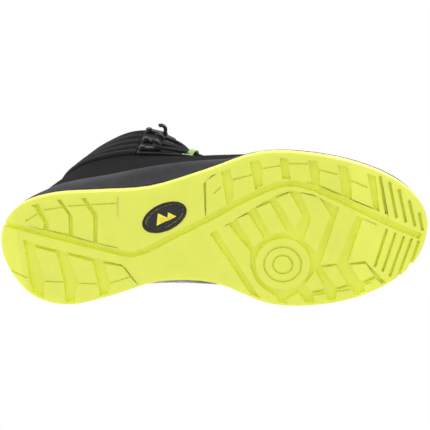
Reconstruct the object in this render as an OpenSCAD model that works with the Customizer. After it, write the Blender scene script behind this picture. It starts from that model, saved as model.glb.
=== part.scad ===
// Right mid-cut hiking and safety boot, EU 42, standing on its outsole.
// The toe points to -Y, the medial side to +X and the leg to +Z. The origin is on
// the ground, under the middle of the outsole.

/* [Outsole] */
// Length of the outsole, heel to toe
sole_l = 308; // [270:1:370]
// Width of the outsole across the ball
sole_w = 116; // [100:1:140]
// Thickness of the outsole above its grooves
base_t = 4; // [3:0.5:6]
// Depth of the tread grooves
tread_d = 3.5; // [2:0.5:5]
// Radius of the upward curve at the toe
toe_r = 290; // [220:10:400]
// Radius of the raised pivot disc under the ball
disc_r = 19.5; // [15:0.5:23]
// Length of the oval inlay in the shank
badge_l = 35; // [24:1:40]
// Width of the oval inlay
badge_w = 20; // [12:1:24]

/* [Midsole] */
// Thickness under the heel
heel_t = 18; // [14:1:24]
// Thickness under the ball
ball_t = 9; // [7:1:14]
// Width of the rim that stands round the upper
rim_w = 2.8; // [2:0.2:4]

/* [Upper] */
// Height of the collar at its sides
collar_z = 150; // [135:1:180]
// Drop of the collar's edge at the back
collar_drop = 9; // [0:1:15]
// Height where the padded collar begins
pad_z = 101; // [92:1:110]
// Padded ribs round the collar
ribs = 5; // [3:1:6]
// How far a rib stands out
rib_out = 2.4; // [1:0.2:4]
// Thickness of the outer fabric
skin_t = 1.3; // [0.8:0.1:2]
// Thickness of the overlays sewn on it
overlay_t = 1.5; // [1:0.1:2.5]
// Thickness of the padded lining
lining_t = 1.8; // [1.2:0.2:3]
// Thickness of the tongue
tongue_t = 5; // [3:0.5:7]

/* [Stiffeners and insole] */
// Wall of the safety toe cap
cap_t = 1.6; // [1.2:0.1:2.2]
// Wall of the heel stiffener
stiffener_t = 1.4; // [1:0.1:2]
// Thickness of the insole board
board_t = 2.2; // [1.6:0.2:3]
// Thickness of the puncture-resistant layer
plate_t = 1.4; // [1:0.2:2.4]
// Thickness of the footbed
footbed_t = 5; // [3:0.5:7]
// Width of the shank
shank_w = 22; // [14:1:28]
// Length of the shank
shank_l = 104; // [80:1:120]

/* [Lacing] */
// Length of a lace hook's plate
hook_l = 19; // [15:1:22]
// Height of a lace hook's plate
hook_h = 6.5; // [5:0.5:8]
// Thickness of the hook's bent rod
hook_rod = 3.2; // [2.6:0.2:4]
// Radius of a rivet head
rivet_r = 2.2; // [1.6:0.2:2.8]
// Width of the webbing loops
loop_w = 6; // [5:0.5:9]
// Diameter of the lace
lace_d = 3.6; // [3:0.2:4.4]
// Clearance between neighbouring layers
gap = 0.3; // [0.2:0.05:0.5]

/* [Hidden] */

sx = sole_w / 116;
sy = sole_l / 308;
sz = (collar_z - 40) / 110;
outsole_t = base_t + tread_d;
lime = "greenyellow";
far = 200;

// ---- curves ------------------------------------------------------------------------
function mix(a, b, t) = a + (b - a) * t;
function clamp(v, a, b) = min(max(v, a), b);
function ease(t) = let (c = clamp(t, 0, 1)) c * c * (3 - 2 * c);
function cubic(a, b, c, d, t) =
    0.5 * (2 * b + (c - a) * t + (2 * a - 5 * b + 4 * c - d) * t * t
    + (3 * b - a - 3 * c + d) * t * t * t);
// smooth curve through evenly spaced values
function even(v, x) =
    let (n = len(v) - 1, i = clamp(floor(x), 0, n - 1), t = x - i,
        a = i > 0 ? v[i - 1] : 2 * v[0] - v[1], d = i + 2 <= n ? v[i + 2] : 2 * v[n] - v[n - 1])
    cubic(a, v[i], v[i + 1], d, t);
function unit(v) = v / norm(v);
function pts(list) = [for (p = list) [p[0] * sx, p[1] * sy]];

// ---- the sole's outline and profile -------------------------------------------------
// x of each side at angles of 0, 15 ... 180 degrees from the toe to the heel
side_l = [4, -13, -29.5, -43.8, -53.8, -57.2, -46.5, -37, -36.6, -36.4, -30.5, -16, 3];
side_m = [4, 24.5, 40.5, 51.5, 57.2, 55, 36.5, 33.5, 43, 48.5, 41, 22, 3];
function y_at(a) = -cos(a) * sole_l / 2;
function side_x(a, medial) = even(medial ? side_m : side_l, a / 15) * sx;
function outline(step, inset = 0) =
    let (ring = concat([for (a = [0:step:180]) [side_x(a, false), y_at(a)]],
            [for (a = [180 - step:-step:step]) [side_x(a, true), y_at(a)]]),
        n = len(ring))
    [for (i = [0:n - 1])
        let (t = unit(ring[(i + 1) % n] - ring[(i + n - 1) % n])) ring[i] + inset * [t[1], -t[0]]];
// height of the ground side: flat, curling up at the toe and a little at the heel
function ground_z(y) =
    let (toe = max(-70 * sy - y, 0), heel = max(y - 136 * sy, 0))
    toe * toe / (2 * toe_r) + heel * heel / 80;
function mid_t(y) = mix(ball_t, heel_t, ease((y / sy + 25) / 85));
function floor_z(y) = ground_z(y) + outsole_t + gap + mid_t(y);
function rim_z(y) =
    floor_z(y) + mix(mix(8, 9, ease((y / sy + 30) / 60)), 12.5, ease((y / sy) / 60));

// a band that follows the sole's profile between two heights above it
module band(low, high) {
    ys = [for (y = concat([for (k = [-168:6:126]) k], [for (k = [129:3:168]) k])) y * sy];
    rotate([90, 0, 90]) linear_extrude(2 * far, center = true)
        polygon(concat([for (y = ys) [y, low(y)]],
            [for (i = [len(ys) - 1:-1:0]) [ys[i], high(ys[i])]]));
}
// a line of tread groove, its corners mitred
module groove(line, w) {
    n = len(line) - 1;
    function dir(i) = unit(line[min(i + 1, n)] - line[max(i - 1, 0)]);
    side = [for (i = [0:n]) let (d = dir(i)) [-d[1], d[0]] * w / 2];
    polygon(concat([for (i = [0:n]) line[i] + side[i]], [for (i = [n:-1:0]) line[i] - side[i]]));
}

// ---- outsole -------------------------------------------------------------------------
channel = [[-17, 151], [-13, 136], [-5, 112], [4, 84], [10, 66], [12, 57], [9, 46], [1, 29],
    [-12, 0], [-22, -20], [-31, -41], [-34.5, -52], [-34.5, -63], [-30, -76], [-20, -94],
    [-6, -117], [7, -138], [13, -149]];
heel_lateral = [[-32, 129], [-35, 110], [-35.5, 62], [6.5, 67], [1.5, 84], [-11, 122], [-18, 139]];
heel_medial = [[-4, 136], [3, 119], [13, 86], [19, 66], [22, 63], [38, 54], [60, 76], [60, 136]];
fore_lateral = [[-38, 1], [-49.5, -12], [-55, -30], [-56.5, -52], [-56, -70], [-52, -90],
    [-43, -108], [-36, -118], [-9, -120], [-20, -100], [-31, -79], [-37, -66], [-38, -53],
    [-34, -40], [-24, -20], [-13, 2]];
fore_medial = [[-1, 0], [-3, -5], [-10, -18], [-20, -36], [-27, -50], [-29.5, -60], [-26, -74],
    [-15, -92], [0, -118], [27, -109], [48, -126], [68, -100], [68, -45], [56, -31]];
blocks = [
    // heel, lateral side
    [[-18, 141], [-32, 130], [-28, 124], [-15, 118.5], [-11, 120]],
    [[-31.5, 121], [-34, 108], [-21, 100], [-6.5, 101.5], [-10.5, 116], [-16, 115]],
    [[-34.5, 104.5], [-35.5, 90.5], [-19, 82], [0.5, 84.5], [-5, 98.5], [-19, 97]],
    [[-35.5, 87], [-34, 62.5], [6, 66.5], [1.5, 81.5], [-20, 78.5]],
    // heel, medial side
    [[-6, 160], [-2.5, 137], [20, 137.5], [60, 131], [60, 160]],
    [[2.5, 128.5], [7.5, 113], [30, 110.5], [60, 112], [60, 131], [43, 127.5], [27, 124.5]],
    [[9.5, 105], [16, 87], [31, 85.5], [60, 84], [60, 106], [46, 104.5], [29, 99.5]],
    [[17.5, 79.5], [21, 65], [29, 60.5], [44, 50], [60, 79], [44, 79], [31, 76]],
    // ball, lateral side
    [[-40, -1], [-47, -12], [-21, -14], [-14, 1]],
    [[-50, -18], [-54, -32], [-30, -35], [-23, -19], [-38, -20]],
    [[-55.5, -38.5], [-56.5, -53], [-38, -54], [-33.5, -40], [-46, -41]],
    [[-56.5, -58], [-54, -72], [-34.4, -74], [-37, -60], [-46, -59]],
    [[-53.5, -77], [-49, -92], [-24.5, -94.5], [-32.5, -79.5], [-43, -80]],
    [[-46.5, -98], [-40, -112], [-12.5, -116], [-20.5, -101], [-34, -101]],
    // ball, medial side
    [[-4.5, -5], [-7, -14], [14, -28], [26, -27], [38, -31], [46, -39], [49, -44], [64, -50], [64, -30],
        [52, -33.5]],
    [[-11, -20], [-14, -28.5], [5, -38.5], [11, -31]],
    [[-18, -34.5], [-21.5, -44.5], [0.5, -54.5], [2, -43.5]],
    [[-24.5, -49], [-28, -58.5], [-11, -66.5], [0, -61]],
    [[-27.5, -66], [-23.5, -78.5], [-10, -86], [17, -75], [7.5, -66.5], [-9, -72.5]],
    [[-15.5, -92.5], [-9, -104], [26, -89.5], [27, -77]],
    [[29, -78], [28.5, -88.5], [43, -95.5], [45, -88]],
    [[46.5, -88.5], [45, -97], [62, -106], [64, -84]],
    [[-5.5, -108], [0.5, -118], [26.5, -110], [27, -96.5]],
    [[28.5, -97.5], [28.5, -109.5], [38.5, -115], [42, -105.5]],
    [[44, -107], [40.5, -116], [48, -122], [64, -110]],
    [[31, -73.5], [45, -79], [46.5, -70], [42, -65]],
    [[53, -51], [47.5, -60.5], [64, -70], [64, -56]],
    [[48.5, -70.5], [48, -79.5], [64, -84], [64, -74]],
];
// fine cuts across the blocks
sipes = [[[-18, 132], [-24, 120]], [[-25.5, 117], [-27, 103]], [[-27.5, 99], [-27.5, 64]],
    [[20, 149], [26, 137]], [[29, 126], [30.5, 111]], [[32, 101], [33, 86]], [[33, 76], [29, 61]],
    [[-31, -6], [-35, -11]], [[-40, -20], [-42.5, -33]], [[-46.5, -40], [-48, -53]],
    [[-49, -59], [-48, -72]], [[-43.5, -79], [-39, -92]], [[-34.5, -100], [-28, -112]],
    [[49.5, -70], [49, -79]], [[48, -88], [47, -97]], [[44.5, -106], [43, -113]]];
// ribs of the toe, each cut by a line from the edge to the channel
toe_cuts_l = [[[-35, -121], [-7, -125]], [[-30, -127.5], [-3, -132]], [[-24, -134], [1, -138.5]],
    [[-15, -141], [5, -145]], [[-5, -148], [9, -150.5]]];
toe_cuts_m = [[[4, -125], [32, -115.5]], [[7.5, -131], [36, -121]], [[11, -137], [40.5, -126]],
    [[13.5, -142.5], [41, -132]], [[16, -147.5], [38, -139.5]]];
pivot = [25 * sx, -50.5 * sy];
badge_at = [-15 * sx, 31 * sy];
badge_turn = 66;

module oval(l, w) { scale([1, w / l]) circle(d = l, $fn = 64); }
module tread_cuts() {
    union() {
        difference() {
            intersection() {
                polygon(outline(5, 4));
                union() { polygon(pts(heel_lateral)); polygon(pts(fore_lateral)); }
            }
            for (b = blocks) polygon(pts(b));
        }
        difference() {
            intersection() {
                polygon(outline(5, 1.8));
                union() { polygon(pts(heel_medial)); polygon(pts(fore_medial)); }
            }
            for (b = blocks) polygon(pts(b));
            translate(pivot) circle(r = disc_r, $fn = 72);
        }
        for (s = concat(toe_cuts_l, toe_cuts_m)) groove(pts(s), 2);
    }
}
module outsole() {
    color(lime) difference() {
        intersection() {
            linear_extrude(far) polygon(outline(3.75));
            band(function(y) ground_z(y), function(y) ground_z(y) + outsole_t);
        }
        intersection() {
            translate([0, 0, -1]) linear_extrude(far) union() {
                tread_cuts();
                groove(pts(channel), 4.6);
            }
            band(function(y) ground_z(y) - 2, function(y) ground_z(y) + tread_d);
        }
        intersection() {
            translate([0, 0, -1]) linear_extrude(far) for (s = sipes) groove(pts(s), 1.1);
            band(function(y) ground_z(y) - 2, function(y) ground_z(y) + 1.4);
        }
        translate([pivot[0], pivot[1], -1]) linear_extrude(1 + 1.8) for (r = [13.2, 6.9])
            difference() { circle(r = r + 0.7, $fn = 72); circle(r = r - 0.7, $fn = 72); }
        translate([badge_at[0], badge_at[1], -1]) rotate(badge_turn)
            linear_extrude(1 + 2) oval(badge_l, badge_w);
    }
}
module outsole_badge() {
    color("dimgray") translate([badge_at[0], badge_at[1], 0.6]) rotate(badge_turn)
        linear_extrude(2 - 0.6) difference() {
            oval(badge_l - 2 * gap, badge_w - 2 * gap);
            difference() { oval(badge_l - 5, badge_w - 5); oval(badge_l - 6.4, badge_w - 6.4); }
        }
}

// ---- the last: rings round the foot from the sole to the collar ----------------------
// each ring: height, front, back, then half widths at 30, 60, 90, 120 and 150 degrees
last = [
    [14, -144, 139, 29, 42.5, 43, 37, 27],
    [24, -147, 142, 30.5, 44, 45, 38.5, 28.5],
    [38, -147.5, 145, 29.5, 43.5, 45, 40, 30.5],
    [50, -142, 146, 27.5, 42.5, 43.5, 40, 30.5],
    [61, -129, 145, 26, 40.5, 42, 39.5, 30],
    [72, -105, 143, 22.5, 37, 41, 39, 29],
    [85, -74, 140, 19, 32, 38.5, 38, 27.5],
    [101, -37, 136, 15.5, 27, 38, 37.5, 26],
    [120, -6, 131, 15, 29, 41, 37.5, 25],
    [138, 10, 127, 15, 35.5, 44.6, 37.5, 23.5],
    [155, 16, 123, 15.5, 38, 45.6, 37.5, 23],
    [172, 20, 119, 15.5, 38, 45.6, 37.5, 23],
];
column = [for (k = [0:7]) [for (r = last) r[k]]];
function wrap(a) = a > 180 ? a - 360 : a < -180 ? a + 360 : a;
function ring_z(s) = let (z = even(column[0], s)) z < 40 ? z : 40 + (z - 40) * sz;
function ring_w(a, s) = let (b = abs(a)) sx * even([0, even(column[3], s), even(column[4], s),
    even(column[5], s), even(column[6], s), even(column[7], s), 0], b / 30);
// a point on the last: angle round from the toe (medial side positive), ring number
function last_at(a, s) =
    let (b = wrap(a), f = even(column[1], s), r = even(column[2], s),
        y = mix(f, r, (1 - cos(b)) / 2), z = ring_z(s),
        c = 4 * (ease(y / 80) + ease((-y - 60) / 80)) * clamp((150 - z) / 110, 0, 1))
    [c * sx + (b < 0 ? -1 : 1) * ring_w(b, s), y * sy, z];
function out_at(a, s) =
    let (e = 0.5, h = 0.02)
    unit(cross(last_at(a + e, s) - last_at(a - e, s), last_at(a, s + h) - last_at(a, s - h)));
function skin(a, s, d) = last_at(a, s) + d * out_at(a, s);
// ring number at a height, and angle at a distance along or across the boot
function s_at(z) = let (h = z < 40 ? z : 40 + (z - 40) / sz)
    lookup(h, [for (i = [0:len(last) - 1]) [last[i][0], i]]);
function a_at_y(y, s) =
    let (f = even(column[1], s), r = even(column[2], s))
    acos(clamp(1 - 2 * (y / sy - f) / (r - f), -1, 1));
function a_at_x(x, s, a = 20, n = 9) =
    n == 0 ? a : a_at_x(x, s, clamp(a * mix(1, x / max(ring_w(a, s), 1), 0.7), 1, 88), n - 1);

// edges that the panels share, as ring numbers and half widths
throat_s = 6.3;
function top_s(a) = s_at(collar_z - collar_drop * ease((abs(wrap(a)) - 95) / 85));
function bite_s(a, lift = 0) = s_at(floor_z(last_at(a, 1)[1]) + gap + lift);
pad_s = s_at(pad_z);
function throat_x(s) = even([10, 25, 30.5, 35, 37.5, 38], s - throat_s) * sx;
function throat_a(s) = a_at_x(throat_x(max(s, throat_s)), s);
function throat_edge(s) = last_at(throat_a(s), s);
// along the throat's edge: vectors per degree and per ring, the edge's run and the way outward
function edge_frame(s) =
    let (a = throat_a(s), run = unit(throat_edge(s + 0.05) - throat_edge(s - 0.05)))
    [last_at(a + 0.5, s) - last_at(a - 0.5, s), 10 * (last_at(a, s + 0.05) - last_at(a, s - 0.05)),
        run, cross(run, out_at(a, s))];
// [angle, ring] at a distance outward from the edge and along it
function off_edge(s, out, along = 0) =
    let (f = edge_frame(s), d = f[3] * out + f[2] * along, p = f[0] * f[0], q = f[0] * f[1],
        r = f[1] * f[1], u = d * f[0], v = d * f[1], det = p * r - q * q)
    [throat_a(s) + (u * r - v * q) / det, s + (p * v - q * u) / det];
function per_mm(s) = 0.2 / norm(throat_edge(s + 0.1) - throat_edge(s - 0.1));
function vamp_a(s) = mix(a_at_y(-28 * sy, s), throat_a(s), ease((s - 2) / (throat_s - 2)));
facing_y = 65.5;
function facing_a(s) = a_at_y(facing_y * sy, s);

// a closed panel over the last: where(i, j) gives [angle, ring] for i, j from 0 to 1, and
// may add a height by which both faces are lifted there
module panel(n, m, where, outer, inner) {
    uv = [for (j = [0:m], i = [0:n]) where(i / n, j / m)];
    q = (n + 1) * (m + 1);
    function lift(w) = len(w) > 2 ? w[2] : 0;
    p = concat([for (w = uv) skin(w[0], w[1], outer(w[0], w[1]) + lift(w))],
        [for (w = uv) skin(w[0], w[1], inner(w[0], w[1]) + lift(w))]);
    function k(i, j) = j * (n + 1) + i;
    polyhedron(p, concat(
        [for (j = [0:m - 1], i = [0:n - 1]) each [[k(i, j), k(i, j + 1), k(i + 1, j + 1)],
            [k(i, j), k(i + 1, j + 1), k(i + 1, j)]]],
        [for (j = [0:m - 1], i = [0:n - 1]) each [[q + k(i, j), q + k(i + 1, j + 1), q + k(i, j + 1)],
            [q + k(i, j), q + k(i + 1, j), q + k(i + 1, j + 1)]]],
        [for (i = [0:n - 1]) each [[k(i, 0), k(i + 1, 0), q + k(i + 1, 0)],
            [k(i, 0), q + k(i + 1, 0), q + k(i, 0)],
            [k(i + 1, m), k(i, m), q + k(i, m)], [k(i + 1, m), q + k(i, m), q + k(i + 1, m)]]],
        [for (j = [0:m - 1]) each [[k(0, j + 1), k(0, j), q + k(0, j)],
            [k(0, j + 1), q + k(0, j), q + k(0, j + 1)],
            [k(n, j), k(n, j + 1), q + k(n, j + 1)], [k(n, j), q + k(n, j + 1), q + k(n, j)]]]));
}
function flat_d(d) = function(a, s) d;

// ---- midsole --------------------------------------------------------------------------
// wall points: t runs from the outsole (0) up to the rim (1)
function wall_at(a, t) =
    let (b = abs(a), foot = [side_x(b, a > 0), y_at(b)], yl = last_at(a, 2)[1],
        top = skin(a, s_at(rim_z(yl)), gap + rim_w),
        bulge = (a < 0 ? 1.2 : 1.6) * sin(180 * t))
    [mix(foot[0], top[0], ease(t)) + (a < 0 ? -1 : 1) * bulge * sin(b),
        mix(foot[1], top[1], ease(t)),
        mix(ground_z(foot[1]) + outsole_t + 0.05, rim_z(yl), t)];
module midsole() {
    n = 72;
    angles = [for (i = [0:n - 1]) -177.5 + i * 360 / n];
    levels = [0, 0.15, 0.35, 0.55, 0.75, 0.92, 1];
    inner = [for (a = angles) let (p = last_at(a, 2)) skin(a, s_at(rim_z(p[1])), gap)];
    low = [for (a = angles) let (s = bite_s(a, -gap), p = skin(a, s, gap)) [p[0], p[1], floor_z(p[1])]];
    p = concat([for (t = levels, a = angles) wall_at(a, t)],
        [for (q = inner) q], [for (q = low) q]);
    rows = len(levels) + 2;
    half = n / 2;
    // angle -a and +a lie on one cross line, so the floor and the underside are strips
    function left(i) = half - 1 - i;
    function right(i) = half + i;
    last_row = (rows - 1) * n;
    color("dimgray") polyhedron(p, concat(
        [for (r = [0:rows - 2], i = [0:n - 1]) let (j = (i + 1) % n)
            each [[r * n + i, (r + 1) * n + i, (r + 1) * n + j], [r * n + i, (r + 1) * n + j, r * n + j]]],
        [for (i = [0:half - 2]) each [
            [last_row + left(i), last_row + left(i + 1), last_row + right(i + 1)],
            [last_row + left(i), last_row + right(i + 1), last_row + right(i)]]],
        [for (i = [0:half - 2]) each [[left(i), right(i + 1), left(i + 1)],
            [left(i), right(i), right(i + 1)]]]));
}

// ---- insole stack ---------------------------------------------------------------------
inside_d = skin_t + 2 * gap + cap_t + gap + lining_t + gap;
function insole_line(inset) =
    [for (a = [-177.5:5:177.5]) let (p = skin(a, bite_s(a, 1.5), -inside_d - inset)) [p[0], p[1]]];
module shank_line(grow) {
    l = shank_l * sy / 2;
    w = shank_w / 2 + grow;
    translate([0, 30 * sy]) polygon([[-w, l + grow], [w, l + grow], [w * 0.85, 0], [w, -l - grow],
        [-w, -l - grow], [-w * 0.85, 0]]);
}
module layer(low, t) {
    intersection() {
        translate([0, 0, 1]) linear_extrude(far) children();
        band(function(y) floor_z(y) + low, function(y) floor_z(y) + low + t);
    }
}
module insole_board() {
    color("tan") layer(gap, board_t) difference() { polygon(insole_line(0.5)); shank_line(gap); }
}
module shank() { color("silver") layer(gap, board_t) shank_line(0); }
module puncture_plate() { color("khaki") layer(2 * gap + board_t, plate_t) polygon(insole_line(1)); }
module footbed() {
    color("darkslategray") layer(3 * gap + board_t + plate_t, footbed_t) polygon(insole_line(2.5));
}

// ---- upper ------------------------------------------------------------------------------
lining_d = -skin_t - 3 * gap - cap_t;
module lining() {
    top_a = throat_a(s_at(collar_z));
    foot = 9 / 14;
    color("black") panel(48, 14, function(i, j) let (
            s = j < foot + 0.01 ? mix(bite_s(mix(2, 358, i)), throat_s, j / foot)
                : mix(throat_s, top_s(mix(top_a, 360 - top_a, i)), (j - foot) / (1 - foot)),
            t = j < foot - 0.01 ? 0.4 : throat_a(s) + 0.6)
            [mix(t, 360 - t, i), s], flat_d(lining_d), flat_d(lining_d - lining_t));
}
module toe_cap() {
    top = 5.15;
    color("slategray") panel(28, 10, function(i, j) let (s = mix(bite_s(0, 2), top, j),
            a = max(a_at_y(-101 * sy, s), 6)) [mix(-a, a, i), s],
            flat_d(-skin_t - gap), flat_d(-skin_t - gap - cap_t));
}
module heel_stiffener() {
    color("slategray") panel(20, 8, function(i, j) let (s = mix(bite_s(180, 2), s_at(84), j),
            a = a_at_y(mix(72, 104, ease(j)) * sy, s)) [mix(a, 360 - a, i), s],
            flat_d(-skin_t - gap), flat_d(-skin_t - gap - stiffener_t));
}
module vamp() {
    color([0.14, 0.14, 0.15]) panel(30, 14, function(i, j) let (a0 = mix(-75, 75, i),
            s = mix(bite_s(a0), throat_s - 0.02, j), a = vamp_a(s)) [mix(-a, a, i), s],
            flat_d(0), flat_d(-skin_t));
}
module toe_guard() {
    color([0.1, 0.1, 0.11]) panel(28, 5, function(i, j) let (a0 = mix(-48, 48, i),
            low = s_at(rim_z(last_at(a0, 2)[1]) + 2 * gap), s = mix(low, s_at(56), j),
            a = a_at_y(mix(-84, -108, ease(j)) * sy, s)) [mix(-a, a, i), s],
            flat_d(gap + overlay_t), flat_d(gap));
}
module quarter(side) {
    color([0.13, 0.13, 0.14]) panel(26, 16, function(i, j) let (
            i2 = side > 0 ? i : 1 - i, b = mix(vamp_a(1), 179.6, i2),
            s = mix(bite_s(b, 0.1), pad_s - 0.03, j), front = (s < throat_s ? vamp_a(s) : throat_a(s)) + 0.5)
            [side * mix(front, 179.6, i2), s], flat_d(0), flat_d(-skin_t));
}
module quarter_lateral() { quarter(-1); }
module quarter_medial() { quarter(1); }
module heel_seam_tape() {
    color([0.1, 0.1, 0.11]) panel(4, 10, function(i, j) let (
            s = mix(s_at(rim_z(146) + 2 * gap), pad_s - 0.05, j)) [mix(169, 191, i), s],
            flat_d(gap + 0.9), flat_d(gap));
}
module eyestay(side) {
    color([0.17, 0.17, 0.18]) panel(8, 24, function(i, j) let (
            i2 = side > 0 ? i : 1 - i, s = mix(6.02, s_at(collar_z), j),
            in_a = s < throat_s ? a_at_x(throat_x(throat_s) + 2 * (throat_s - s), s) : throat_a(s),
            strip = a_at_x(throat_x(max(s, throat_s)) + 14 * sx, s),
            out_a = mix(min(strip, facing_a(s)), facing_a(s), ease((s - pad_s + 0.8) / 0.8)))
            [side * mix(in_a, out_a, i2), s],
            flat_d(gap + overlay_t), function(a, s) s > pad_s + 0.1 ? -skin_t : gap + 0.15);
}
module eyestay_lateral() { eyestay(-1); }
module eyestay_medial() { eyestay(1); }
function rib_d(a, s) =
    let (t = clamp((s - pad_s) / (top_s(a) - pad_s), 0, 1))
    0.4 + rib_out * pow(abs(sin(180 * ribs * t)), 0.7);
module collar_padding() {
    color([0.2, 0.2, 0.21]) panel(40, 4 * ribs, function(i, j) let (
            f0 = facing_a(pad_s), s = mix(pad_s, top_s(mix(f0, 360 - f0, i)), j), f = facing_a(s) + 0.6)
            [mix(f, 360 - f, i), s], function(a, s) rib_d(a, s), flat_d(-skin_t));
}
module collar_binding() {
    top_a = throat_a(s_at(collar_z));
    color([0.3, 0.3, 0.31]) panel(60, 2, function(i, j) let (
            s = top_s(mix(top_a, 360 - top_a, i)) + 0.03 + 0.22 * j, t = throat_a(s))
            [mix(t, 360 - t, i), s],
            flat_d(0.6), function(a, s) lining_d - lining_t);
}
module heel_pull_loop() {
    // a webbing strap bowed out from the collar's back, sewn at both ends
    w = 9;
    pl = skin(180, pad_s + 0.25, rib_out + 0.6);
    ph = skin(180, s_at(collar_z - collar_drop) - 0.12, rib_out + 0.6);
    h = ph[2] - pl[2];
    lean = ph[1] - pl[1];
    t = 1.6;
    bow = 9;
    function arch(r, n = 12) = [for (k = [0:n])
        let (u = k / n) [pl[1] + lean * u + r * sin(180 * u), pl[2] + h * u]];
    color([0.12, 0.12, 0.13]) translate([-w / 2, 0, 0]) rotate([90, 0, 90]) linear_extrude(w)
        polygon(concat([[pl[1], pl[2] - 5], [pl[1] + t, pl[2] - 5]],
            [for (q = arch(bow)) [q[0] + t, q[1]]],
            [[ph[1] + t, ph[2] + 3], [ph[1], ph[2] + 3]],
            [for (k = [12:-1:0]) let (q = arch(bow - 0.4)[k]) [q[0], q[1]]]));
}
function tongue_d(a, s) =
    let (x = abs(last_at(a, s)[0]), t = throat_x(max(s, throat_s)))
    mix(-1.4, lining_d - lining_t - 3 * gap,
        max(ease((x - t + 12) / 9), ease((throat_s + 0.35 - s) / 0.2)));
module tongue() {
    color([0.16, 0.16, 0.17]) panel(20, 18, function(i, j) let (s = mix(6, s_at(collar_z + 9), j),
            w = (throat_x(max(s, throat_s)) + 6 * sx) * (1 - 0.25 * pow(max((j - 0.85) / 0.15, 0), 2)),
            x = a_at_x(w, s)) [mix(-x, x, i), s],
            function(a, s) tongue_d(a, s), function(a, s) tongue_d(a, s) - tongue_t);
}

// ---- lacing -------------------------------------------------------------------------------
loop_s = [6.45, 7, 7.58];
hook_z = [108, 126, 145];
hook_y = 55;
face_d = gap + overlay_t;
loop_l = 12;
// height of a loop over the facing: it bows up over the lace near the throat
function bow(out) = (lace_d + 1.8) * pow(sin(180 * clamp(out / loop_l * 1.5, 0, 1)), 0.55);
module lace_loops() {
    color("palegreen") for (side = [-1, 1], s = loop_s)
        panel(12, 2, function(i, j) let (i2 = side > 0 ? i : 1 - i, out = mix(0.4, loop_l, i2),
            q = off_edge(s, out, mix(-loop_w / 2, loop_w / 2, j))) [side * q[0], q[1], bow(out)],
            flat_d(face_d + gap + 1), flat_d(face_d + gap));
}
module loop_rivets() {
    color("dimgray") for (side = [-1, 1], s = loop_s) {
        q = off_edge(s, loop_l - 1.7);
        n = out_at(side * q[0], q[1]);
        translate(skin(side * q[0], q[1], face_d + 2 * gap + 1.2))
            rotate([0, acos(n[2]), atan2(n[1], n[0])]) cylinder(h = 1, r = 1.6, $fn = 32);
    }
}
// frame of a hook: towards the heel, up, away from the skin, and its place
function hook_frame(side, z) =
    let (s = s_at(z), a = side * a_at_y(hook_y * sy, s), n = out_at(a, s),
        back = unit(cross([0, 0, 1], n)) * side)
    [back, side * cross(n, back), n, skin(a, s, face_d + gap)];
function at_hook(side, z, p) =
    let (f = hook_frame(side, z)) f[3] + f[0] * p[0] + f[1] * p[1] + f[2] * p[2];
module seat(side, z) {
    f = hook_frame(side, z);
    multmatrix([for (r = [0:2]) [f[0][r], side * f[1][r], f[2][r], f[3][r]]]) children();
}
curl_r = lace_d / 2 + hook_rod / 2 + gap;
plate_h = 1.8;
rod_x = 2.4 - hook_l / 2;
curl_z = plate_h + lace_d / 2 + gap;
module lace_hooks() {
    r = hook_rod / 2;
    color([0.27, 0.27, 0.29]) for (side = [-1, 1], z = hook_z) seat(side, z) {
        difference() {
            linear_extrude(plate_h) union() {
                square([hook_l - 5, hook_h - 1.5], center = true);
                translate([hook_l / 2 - 3, 0]) circle(d = hook_h, $fn = 40);
                translate([rod_x, 0]) circle(d = 5, $fn = 40);
            }
            translate([hook_l / 2 - 3, 0, -1]) cylinder(h = 4, r = rivet_r * 0.6, $fn = 32);
        }
        // the rod stands up from the front end and curls back over the lace
        translate([rod_x, 0, plate_h - 0.5]) cylinder(h = curl_z - plate_h + 0.5, r = r, $fn = 24);
        translate([rod_x + curl_r, 0, curl_z]) rotate([90, 0, 0]) rotate([0, 0, 50])
            rotate_extrude(angle = 130, $fn = 48) translate([curl_r, 0]) circle(r = r, $fn = 24);
    }
}
module hook_rivets() {
    color("gray") for (side = [-1, 1], z = hook_z) seat(side, z)
        translate([hook_l / 2 - 3, 0, plate_h]) {
            cylinder(h = 1, r = rivet_r, $fn = 32);
            translate([0, 0, -2]) cylinder(h = 2.5, r = rivet_r * 0.6 - 0.05, $fn = 32);
        }
}
// the lace's route: a bar over the foot of the throat, crossings from loop to loop and on to
// the two lower hooks, then over the tongue's top edge, its ends hanging inside the shaft
lace_r = lace_d / 2;
loop_d = face_d + gap + lace_r + 0.7;
tail_x = 10;
function on(side, x, s, d) = skin(side * a_at_x(max(x, 0.1) * sx, s), s, d);
function edge(side, s, out, d, along = 0) = let (q = off_edge(s, out, along)) skin(side * q[0], q[1], d);
function through(side, k) = [for (y = [-6.5, -3, 3, 6.5])
    edge(side, loop_s[k], abs(y) > 4 ? 0.6 : 3.8, abs(y) > 4 ? 3.7 : loop_d, y)];
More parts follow.
